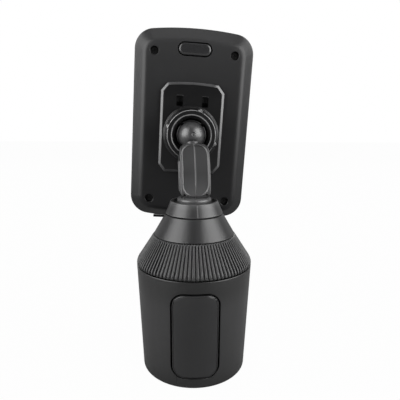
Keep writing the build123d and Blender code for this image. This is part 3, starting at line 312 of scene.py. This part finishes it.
def sharpened(piece, turn):    # smooth shading that stops at crisp edges
    for face in piece.data.polygons:
        face.use_smooth = True
    piece.data.set_sharp_from_angle(angle=math.radians(turn))
    return evened(piece)


def inLocal(points, depth):    # the cradle's own x and z, at a depth towards the phone
    return [cradlePlace @ Vector((x * mm, depth * mm, z * mm)) for x, z in points]


def lofted(name, rings):    # a closed skin over rings of equally many points
    count = len(rings[0])
    points = [tuple(point) for ring in rings for point in ring]
    faces = []
    for row in range(len(rings) - 1):
        low, high = row * count, (row + 1) * count
        faces += [(low + k, low + (k + 1) % count, high + (k + 1) % count, high + k) for k in range(count)]
    faces += [tuple(range(count))[::-1], tuple(range((len(rings) - 1) * count, len(rings) * count))]
    mesh = bpy.data.meshes.new(name)
    mesh.from_pydata(points, [], faces)
    shape = bmesh.new()
    shape.from_mesh(mesh)
    bpy.data.meshes.remove(mesh)
    bmesh.ops.recalc_face_normals(shape, faces=shape.faces)
    return meshed(name, shape)


def joined(name, pieces):
    shape = bmesh.new()
    for piece in pieces:
        shape.from_mesh(piece.data)
        bpy.data.objects.remove(piece)
    return meshed(name, shape)


def carved(piece, tool, operation):
    cut = piece.modifiers.new("cut", "BOOLEAN")
    cut.operation = operation
    cut.object = tool
    cut.solver = "EXACT"
    settled(piece)
    bpy.data.objects.remove(tool)


def dressed(piece, node, finish=None):    # the piece takes its solid's place, body and slot
    if not len(piece.data.materials):
        piece.data.materials.append(finishes[finish or slotOf[node]])
    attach(piece, bodyOf[node])
    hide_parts(node)
    return piece


def painted(piece, finish, chosen):    # the picked faces take another finish; chosen gets place and facing
    piece.data.materials.append(finishes[finish])
    slot = len(piece.data.materials) - 1
    facing = intoCradle.to_3x3()
    for face in piece.data.polygons:
        if chosen((intoCradle @ face.center) / mm, facing @ face.normal):
            face.material_index = slot


skinLook = {
    "edges": {"front_shell": 0.4, "socket_plate": 0.3, "lock_nut": 0.6, "neck_shell_left": 0.45,
              "neck_shell_right": 0.45, "smooth_cone": 0.5, "cup_shell": 0.5, "front_leg_pad": 0.6,
              "left_leg_pad": 0.6, "right_leg_pad": 0.6, "ball_stud": 0.3, "clamp_arm_left": 0.6,
              "clamp_arm_right": 0.6, "foot_bracket": 0.4, "front_pad": 0.6},
    "finishes": {"lock_nut": "nut_plastic", "socket_plate": "nut_plastic", "cup_shell": "cup_plastic"},
    # tones: the neck shells' rounded edges take a painted highlight
    "tones": {"neck_shell_left": ("neck_plastic", "neck_edge_highlight"), "neck_shell_right": ("neck_plastic", "neck_edge_highlight")}}


def makeSkin(node, shaped=None, added=None):    # shaped works on the mesh before the edges are rounded
    piece = weldedCopy(node)
    if shaped:
        shaped(piece)
    rounded(piece, skinLook["edges"][node], skinLook["tones"].get(node))
    if added:
        piece = joined(piece.name, [piece, *added()])
    return dressed(piece, node, skinLook["finishes"].get(node))


# Places are from the ball's centre. A facing is a normal's share towards the phone: -1 looks back at the viewer.
plateLook = {"rimFrom": 11.6, "rimTo": 10.9, "rimNear": 0.02, "rimR": 18.6, "rimFacing": (-0.985, -0.2),
             "back": 13.0, "slotX": 8.3, "slotZ": 17.0, "lipX": 2.9, "lipZ": 4.2, "lipFacing": -0.99,
             "halfWidth": 1.95, "halfHeight": 3.35, "backing": (12.6, 12.9), "shadeFrom": 10.4}


def flattenRim(plate):    # lays the slope round the plate a little flatter
    for point in plate.data.vertices:
        local = intoCradle @ point.co
        if abs(local.y / mm - plateLook["rimFrom"]) < plateLook["rimNear"]:
            point.co = cradlePlace @ Vector((local.x, plateLook["rimTo"] * mm, local.z))


def slotShadeBacks():    # painted shade: a dark back in each of the two slots stands in for their shade
    z, wide, tall = plateLook["slotZ"], plateLook["halfWidth"], plateLook["halfHeight"]
    backs = []
    for x in (-plateLook["slotX"], plateLook["slotX"]):
        corners = [(x - wide, z - tall), (x + wide, z - tall), (x + wide, z + tall), (x - wide, z + tall)]
        backs.append(lofted("slot_shade_back", [inLocal(corners, depth) for depth in plateLook["backing"]]))
    return backs


def inSlot(at):    # within a slot of the plate, or at its lip
    across = abs(abs(at.x) - plateLook["slotX"])
    return across < plateLook["lipX"] and abs(at.z - plateLook["slotZ"]) < plateLook["lipZ"]


# painted highlight on the slope round the plate's rim
def onPlateRim(at, way):
    squarest, sidemost = plateLook["rimFacing"]
    outside = at.y < plateLook["back"] and math.hypot(at.x, at.z) > plateLook["rimR"]
    return squarest < way.y < sidemost and outside and not inSlot(at)


# painted shade in the two slots and on their lips
def inSlotShade(at, way):
    return inSlot(at) and (way.y > plateLook["lipFacing"] or at.y > plateLook["shadeFrom"])


nutLook = {"inner": 12.8, "outer": 15.6, "front": -1.0, "edge": 0.5, "finR": 15.9, "finBack": 0.6,
           "lipFacing": -0.985, "shoulderFacing": (-0.95, -0.2), "finFacing": -0.25}


def onNutEdge(at, way):    # painted highlight on the nut's narrow edges and its fins, as the viewer sees them
    look = nutLook
    r, edge, (squarest, sidemost) = math.hypot(at.x, at.z), look["edge"], look["shoulderFacing"]
    lip = abs(r - look["inner"]) < edge and at.y < look["front"] + edge and way.y > look["lipFacing"]
    shoulder = abs(r - look["outer"]) < edge and squarest < way.y < sidemost
    fin = r > look["finR"] and at.y < look["finBack"] and way.y < look["finFacing"]
    return lip or shoulder or fin


for node in skinLook["edges"]:
    if node == "socket_plate":
        plate = makeSkin(node, flattenRim, slotShadeBacks)
        # painted highlight on the plate's rim
        painted(plate, "painted_rim_light", onPlateRim)
        # painted shade in the slots
        painted(plate, "deep_shade", inSlotShade)
    elif node == "lock_nut":
        # painted highlight on the nut's edges and fins
        painted(makeSkin(node), "painted_edge_glint", onNutEdge)
    else:
        makeSkin(node)
print("skins: made", len(skinLook["edges"]))

# Each spring is drawn at rest; its fixed end's place is worked out, and nothing flattens the spring as it is pressed.
springLook = {
    "button_springs": {"joint": "button_press", "along": cradleInward, "length": 5.4, "fixed": 20.0, "travel": 2.0},
    "pawl_spring": {"joint": "pawl_lift", "along": cradleUp, "length": 5.6, "fixed": 47.7, "travel": 2.0}}
for node, look in springLook.items():
    spring = dressed(sharpened(weldedCopy(node), 40.0), node)
    fixedEnd = ballCentre + look["along"] * look["fixed"] * mm
    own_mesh(spring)
print("springs: made", len(springLook))

# section: across one rib as (share of the pitch, share of the rib's depth that is sunk).
ringLook = {"ribs": 92, "ribDepth": 1.15, "rimR": 36.0, "topR": 25.6, "footZ": 68.9, "vertexZ": 71.0,
            "topZ": 87.0, "edgeRun": 1.78, "edgeSteps": 6, "wall": 3.6, "innerR": 29.2, "skirtWall": 2.2,
            "skirtFootZ": 61.4, "floorZ": 71.9, "weld": 0.000004,
            "slopeSteps": (0.2, 0.4, 0.6, 0.8, 0.93),
            "section": ((0.0, 1.0), (0.09, 0.97), (0.15, 0.8), (0.2, 0.42), (0.27, 0.14), (0.37, 0.03), (0.5, 0.0),
                        (0.63, 0.03), (0.73, 0.14), (0.8, 0.42), (0.85, 0.8), (0.91, 0.97), (1.0, 1.0))}


def ringProfile(look):    # (radius, height, rib depth, slope of the outward normal), up the outside
    rimR, topR, topZ, deep, steps = look["rimR"], look["topR"], look["topZ"], look["ribDepth"], look["edgeSteps"]
    lean = math.atan2(rimR - topR, topZ - look["vertexZ"])
    edgeR = look["edgeRun"] / math.tan(lean / 2)
    middleR, middleZ = rimR - edgeR, look["vertexZ"] - look["edgeRun"]
    points = [(rimR - 0.9, look["footZ"], 0.0, -1.2), (rimR - 0.35, look["footZ"] + 0.05, deep * 0.35, -0.8),
              (rimR, middleZ, deep * 0.8, 0.0)]
    for step in range(1, steps + 1):
        turn = lean * step / steps
        points.append((middleR + edgeR * math.cos(turn), middleZ + edgeR * math.sin(turn),
                       deep * (0.8 + 0.2 * step / steps), turn))
    footR, footZ = points[-1][:2]
    for share in look["slopeSteps"]:
        points.append((footR + (topR - footR) * share, footZ + (topZ - footZ) * share,
                       deep * (1.0 - 0.2 * share), lean))
    points.append((topR + 0.22, topZ - 0.35, deep * 0.55, lean))
    points.append((topR - 0.15, topZ, 0.0, 1.2))
    return points


def ringSector(look):    # one rib from the valley before it to the valley behind
    pitch = 2 * math.pi / look["ribs"]
    lean = (look["rimR"] - look["topR"]) / (look["topZ"] - look["vertexZ"])
    innerTop, skirtR = look["topR"] - look["wall"], look["innerR"] - look["skirtWall"]
    inside = [(innerTop, look["topZ"]), (innerTop + lean * (look["topZ"] - look["floorZ"]), look["floorZ"]),
              (skirtR, look["floorZ"]), (skirtR, look["skirtFootZ"]), (look["innerR"], look["skirtFootZ"]),
              (look["innerR"], look["footZ"])]
    points, count = [], 0
    for share, sunk in look["section"]:
        turn = pitch * share
        row = []
        for r, z, depth, slope in ringProfile(look):
            slope = max(slope, 0.0)
            row.append((r - depth * sunk * math.cos(slope), z - depth * sunk * math.sin(slope)))
        row += inside
        count = len(row)
        points += [Vector((r * math.cos(turn), r * math.sin(turn), z)) * mm for r, z in row]
    faces = []
    for low in range(0, len(points) - count, count):
        high = low + count
        faces += [(low + k, high + k, high + (k + 1) % count, low + (k + 1) % count) for k in range(count)]
    mesh = bpy.data.meshes.new("rib_sector")
    mesh.from_pydata([tuple(point) for point in points], [], faces)
    return mesh


def turnedRound(name, finish):    # a tree that copies what it is given round the upright axis
    tree = bpy.data.node_groups.new(name, "GeometryNodeTree")
    for title, way, kind in (("Sector", "INPUT", "Geometry"), ("Ribs", "INPUT", "Int"), ("Weld", "INPUT", "Float"),
                             ("Ring", "OUTPUT", "Geometry")):
        tree.interface.new_socket(title, in_out=way, socket_type="NodeSocket" + kind)
    make = Nodes(tree)
    given = tree.nodes.new("NodeGroupInput")
    sector, ribs, weld = (Sock(make, given.outputs[k]) for k in range(3))
    spots = make.add("GeometryNodePoints", None, {"Count": ribs})
    turn = make.add("GeometryNodeInputIndex") / ribs * (2 * math.pi)
    spin = make.add("FunctionNodeEulerToRotation", None, [make.add("ShaderNodeCombineXYZ", None, {"Z": turn})])
    copies = make.add("GeometryNodeInstanceOnPoints", None, {"Points": spots, "Instance": sector, "Rotation": spin})
    real = make.add("GeometryNodeRealizeInstances", None, [copies])
    whole = make.add("GeometryNodeMergeByDistance", None, {"Geometry": real, "Distance": weld})
    smooth = make.add("GeometryNodeSetShadeSmooth", None, {"Geometry": whole})
    done = make.add("GeometryNodeSetMaterial", None, {"Geometry": smooth, "Material": finish})
    tree.links.new(done.out, tree.nodes.new("NodeGroupOutput").inputs[0])
    return tree


def makeRing():
    ring = placed("ribbed_ring_skin", ringSector(ringLook))
    tree = turnedRound("rib_round", finishes["body_plastic"])
    step = ring.modifiers.new("ribs", "NODES")
    step.node_group = tree
    inputs = {item.name: item.identifier for item in tree.interface.items_tree if item.in_out == "INPUT"}
    step[inputs["Ribs"]] = ringLook["ribs"]
    step[inputs["Weld"]] = ringLook["weld"]
    return dressed(settled(ring), "ribbed_ring")


ringPiece = makeRing()
print("grip ring:", len(ringPiece.data.polygons), "faces")

# shoulder and rimEdge: (share of the way out to the rim, depth from the back or before the rim).
backLook = {"backHalf": 31.9, "backTop": 55.4, "backFoot": 57.2, "backBow": 2.6, "backCorner": 7.8,
            "rimHalf": 39.1, "rimTop": 63.4, "rimCorner": 13.1, "rimBow": 3.5, "middle": 4.1,
            "backDepth": 13.0, "rimDepth": 20.0, "wall": 2.2, "softness": 0.3,
            "shoulder": ((-1.4, 0.0), (-0.95, 0.015), (-0.6, 0.09), (-0.25, 0.24), (0.1, 0.5), (0.45, 1.0),
                         (0.8, 1.68)),
            "flank": (0.4, 0.6, 0.78, 0.88), "rimEdge": ((0.94, 0.5), (0.98, 0.26), (1.0, 0.0)),
            "cornerSteps": 12, "endSteps": 16, "sideSteps": 8,
            "wellR": 2.7, "wellDepth": 3.1, "bossR": 4.2, "bossDepth": 17.0, "screwR": 1.3, "screwX": 26.0,
            "screwTop": 47.3, "screwFoot": 49.4, "windowDepth": 4.0, "shadeFrom": 0.2, "shadeTo": 4.5}
buttonLook = {"width": 20.7, "height": 7.45, "z": 49.6, "gap": 0.65, "front": 12.6, "back": 14.6, "pillow": 0.85,
              "inset": 1.9, "steps": 8, "stemHalf": 1.7, "stemHeight": 3.7, "stemReach": 17.8, "stemRamp": 2.0,
              "stemRoot": 0.5}
buttonMiddle = backLook["middle"] + buttonLook["z"]


def bowedOutline(half, top, foot, bow, corner):    # points round an upright shape with bowed ends
    middle, corners, ends, sides = (backLook[key] for key in ("middle", "cornerSteps", "endSteps", "sideSteps"))
    radius = (half * half + bow * bow) / (2 * bow)
    rise = math.sqrt((radius - corner) ** 2 - (half - corner) ** 2)
    lift = math.atan2(rise, half - corner)
    points = []
    for sign, reach, other in ((1, top, foot), (-1, foot, top)):
        pivot = middle + sign * (reach - radius)
        for step in range(corners + 1):
            turn = lift * step / corners
            points.append((sign * (half - corner + corner * math.cos(turn)),
                           pivot + sign * (rise + corner * math.sin(turn))))
        for step in range(1, ends):
            turn = lift + (math.pi - 2 * lift) * step / ends
            points.append((sign * radius * math.cos(turn), pivot + sign * radius * math.sin(turn)))
        for step in range(corners + 1):
            turn = math.pi - lift + lift * step / corners
            points.append((sign * (corner - half + corner * math.cos(turn)),
                           pivot + sign * (rise + corner * math.sin(turn))))
        low, high = points[-1][1], middle - sign * (other - radius) - sign * rise
        points += [(-sign * half, low + (high - low) * step / sides) for step in range(1, sides)]
    return points


def backRing(share, depth, inset=0.0):    # the outline at a share of the way from the back's edge to the rim
    look = backLook
    half, top, foot, bow, corner = (look["back" + key] + (look["rim" + rim] - look["back" + key]) * share
                                    for key, rim in (("Half", "Half"), ("Top", "Top"), ("Foot", "Top"),
                                                     ("Bow", "Bow"), ("Corner", "Corner")))
    corner = max(corner - inset, 1.0)
    return inLocal(bowedOutline(half - inset, top - inset, foot - inset, bow, corner), depth)


def stadium(width, height, x, z, steps=16):
    half = (width - height) / 2
    points = []
    for side in (1, -1):
        for step in range(steps + 1):
            turn = math.pi * (step / steps - 0.5) + (0 if side > 0 else math.pi)
            points.append((x + side * half + height / 2 * math.cos(turn), z + height / 2 * math.sin(turn)))
    return points


def roundPoints(r, x, z, steps=32):
    return [(x + r * math.cos(2 * math.pi * k / steps), z + r * math.sin(2 * math.pi * k / steps))
            for k in range(steps)]


def makeButton():    # a pillowed cap on its stem
    look = buttonLook
    rings = [inLocal(stadium(look["width"], look["height"], 0.0, buttonMiddle), look["back"])]
    for step in range(look["steps"] + 1):
        turn = math.pi / 2 * step / look["steps"]
        less = look["inset"] * (1.0 - math.cos(turn))
        outline = stadium(look["width"] - 2 * less, look["height"] - 2 * less, 0.0, buttonMiddle)
        rings.append(inLocal(outline, look["front"] + look["pillow"] * (1.0 - math.sin(turn))))
    cap = lofted("cap", rings)
    top, root, reach = buttonMiddle + look["stemHeight"] / 2, look["back"] - look["stemRoot"], look["stemReach"]
    foot = top - look["stemHeight"]
    side = [(root, foot), (reach, foot), (reach, top - look["stemRamp"]), (reach - look["stemRamp"], top), (root, top)]
    ends = (-look["stemHalf"], look["stemHalf"])
    stem = lofted("stem", [[cradlePlace @ (Vector((x, y, z)) * mm) for y, z in side] for x in ends])
    whole = joined("release_button_skin", [cap, stem])
    return dressed(sharpened(whole, 50.0), "release_button")


def makeBack():    # a lofted tray with soft shoulders, its screw wells and the button's window cut out
    look = backLook
    back, rim = look["backDepth"], look["rimDepth"]
    profile = [(share * look["softness"], back + deep) for share, deep in look["shoulder"]]
    profile += [(share, back + (rim - back) * share) for share in look["flank"]]
    profile += [(share, rim - before) for share, before in look["rimEdge"]]
    rings = [backRing(share, depth) for share, depth in profile]
    rings += [backRing(1.0, rim, look["wall"]), backRing(0.0, back + look["wall"], look["wall"] * 0.8)]
    tray = lofted("back_cover_skin", rings)
    heights = (look["middle"] + look["screwTop"], look["middle"] - look["screwFoot"])
    spots = [(sign * look["screwX"], z) for sign in (-1, 1) for z in heights]
    bosses = [lofted("boss", [inLocal(roundPoints(look["bossR"], x, z), depth)
                              for depth in (back + 0.4, look["bossDepth"])]) for x, z in spots]
    carved(tray, joined("bosses", bosses), "UNION")
    wellFloor, wellR, screwR = back + look["wellDepth"], look["wellR"], look["screwR"]
    sizes = ((wellR + 0.35, back - 0.6), (wellR + 0.3, back), (wellR, back + 0.3), (wellR, wellFloor),
             (screwR, wellFloor), (screwR, look["bossDepth"] + 1))
    tools = [lofted("well", [inLocal(roundPoints(r, x, z), depth) for r, depth in sizes]) for x, z in spots]
    wide, tall = (buttonLook[key] + 2 * buttonLook["gap"] for key in ("width", "height"))
    steps = ((0.5, back - 0.6), (0.45, back), (0.0, back + 0.35), (0.0, back + look["windowDepth"]))
    tools.append(lofted("window", [inLocal(stadium(wide + more, tall + more, 0.0, buttonMiddle), depth)
                                   for more, depth in steps]))
    carved(tray, joined("cuts", tools), "DIFFERENCE")
    dressed(sharpened(tray, 30.0), "back_cover")

    def inHole(at, way):    # painted shade on the walls and floors of the wells and of the window
        inWell = any(math.hypot(at.x - x, at.z - z) < wellR + 0.06 for x, z in spots)
        inWindow = abs(at.x) < wide / 2 + 0.05 and abs(at.z - buttonMiddle) < tall / 2 + 0.05
        return back + look["shadeFrom"] < at.y < back + look["shadeTo"] and (inWell or inWindow)

    painted(tray, "deep_shade", inHole)
    return tray


buttonPiece = makeButton()
print("release button:", len(buttonPiece.data.polygons), "faces")
backPiece = makeBack()
print("cradle's back:", len(backPiece.data.polygons), "faces")

# Stage lengths are in metres, angles in degrees from the camera's side, to the right.
stageLook = {"reach": 4.0, "near": -4.0, "wall": 2.5, "floorShare": 0.98, "floorGrey": 0.3, "floorGloss": 0.05,
             "wallShare": 1.0, "wallGloss": 0.6, "sky": 0.05, "skyGloss": 0.03}
lampLook = {
    "softbox_left": {"turn": -64.0, "away": 1.0, "height": 0.72, "aim": 0.72, "wide": 1.1, "tall": 1.4, "level": 4.9},
    "softbox_right": {"turn": 65.0, "away": 1.0, "height": 0.72, "aim": 0.72, "wide": 1.1, "tall": 1.4, "level": 5.4},
    "softbox_back": {"turn": 180.0, "away": 1.1, "height": 0.75, "aim": 0.3, "wide": 1.2, "tall": 1.0, "level": 2.6},
    "softbox_top": {"turn": 0.0, "away": 0.1, "height": 1.4, "aim": 0.1, "wide": 0.8, "tall": 0.8, "level": 0.7}}


def whiteFinish(name, share, gloss):    # matt grey to the light, white to the eye, and dimmer in gloss
    material = bpy.data.materials.new(name)
    make = emptied(material)
    camera, through, glossy = make.rays("Camera", "Transmission", "Glossy")
    grey = stageLook["floorGrey"]
    seen = (camera + through) * share + glossy * gloss
    matt = make.add("ShaderNodeBsdfDiffuse", None, {"Color": (grey, grey, grey, 1.0)})
    glow = make.add("ShaderNodeEmission", None, {"Color": (1.0, 1.0, 1.0, 1.0), "Strength": 1.0})
    both = make.add("ShaderNodeMixShader", None, {0: seen.clamped(), 1: matt, 2: glow})
    make.add("ShaderNodeOutputMaterial", None, {"Surface": both})
    return material


def flatSheet(name, corners, finish):
    mesh = bpy.data.meshes.new(name)
    mesh.from_pydata(corners, [], [(0, 1, 2, 3)])
    mesh.materials.append(finish)
    placed(name, mesh)


def softbox(name, look):
    lamp = bpy.data.lights.new(name, "AREA")
    lamp.shape = "RECTANGLE"
    lamp.size, lamp.size_y = look["wide"], look["tall"]
    lamp.energy = look["level"] * math.pi * look["wide"] * look["tall"]
    holder = placed(name, lamp)
    turn = math.radians(look["turn"])
    holder.location = (look["away"] * math.sin(turn), -look["away"] * math.cos(turn), look["height"])
    aim = Vector((0.0, 0.0, look["aim"])) - holder.location
    holder.rotation_euler = aim.to_track_quat("-Z", "Y").to_euler()


reach, near, wall, floor = stageLook["reach"], stageLook["near"], stageLook["wall"], cadLow.z
flatSheet("studio_floor", [(-reach, near, floor), (reach, near, floor), (reach, wall, floor), (-reach, wall, floor)],
          whiteFinish("floor_white", stageLook["floorShare"], stageLook["floorGloss"]))
flatSheet("studio_wall", [(-reach, wall, floor), (reach, wall, floor), (reach, wall, reach), (-reach, wall, reach)],
          whiteFinish("wall_white", stageLook["wallShare"], stageLook["wallGloss"]))

world = bpy.data.worlds.new("studio")
bpy.context.scene.world = world
make = emptied(world)
camera, through, glossy = make.rays("Camera", "Transmission", "Glossy")
seen = (camera + through).clamped()
unseen = glossy * stageLook["skyGloss"] + (1.0 - glossy) * stageLook["sky"]
sky = make.add("ShaderNodeBackground", None, {"Color": (1.0, 1.0, 1.0, 1.0), "Strength": seen + (1.0 - seen) * unseen})
make.add("ShaderNodeOutputWorld", None, {"Surface": sky})
for name, look in lampLook.items():
    softbox(name, look)
print("stage: lit by", len(lampLook), "softboxes")

# The photograph's viewpoint: metres, degrees, and a lens for a 36 mm wide frame.
cameraLook = {"place": (-0.00666, -0.25444, 0.1586), "turn": 2.3, "down": 11.21, "roll": 0.35, "lens": 37.63}
turn, down, roll = (math.radians(cameraLook[key]) for key in ("turn", "down", "roll"))
ahead = Vector((math.sin(turn) * math.cos(down), math.cos(turn) * math.cos(down), -math.sin(down)))
level = Vector((math.cos(turn), -math.sin(turn), 0.0))
upright = level.cross(ahead)
right = level * math.cos(roll) + upright * math.sin(roll)
up = upright * math.cos(roll) - level * math.sin(roll)
eye = bpy.data.cameras.new("camera")
eye.lens = cameraLook["lens"]
eye.sensor_width = 36.0
eye.clip_start = 0.01
viewer = placed("camera", eye)
viewer.matrix_world = Matrix.Translation(cameraLook["place"]) @ Matrix((right, up, -ahead)).transposed().to_4x4()
bpy.context.scene.camera = viewer
bpy.context.scene.view_settings.view_transform = "Standard"
print("camera: set")
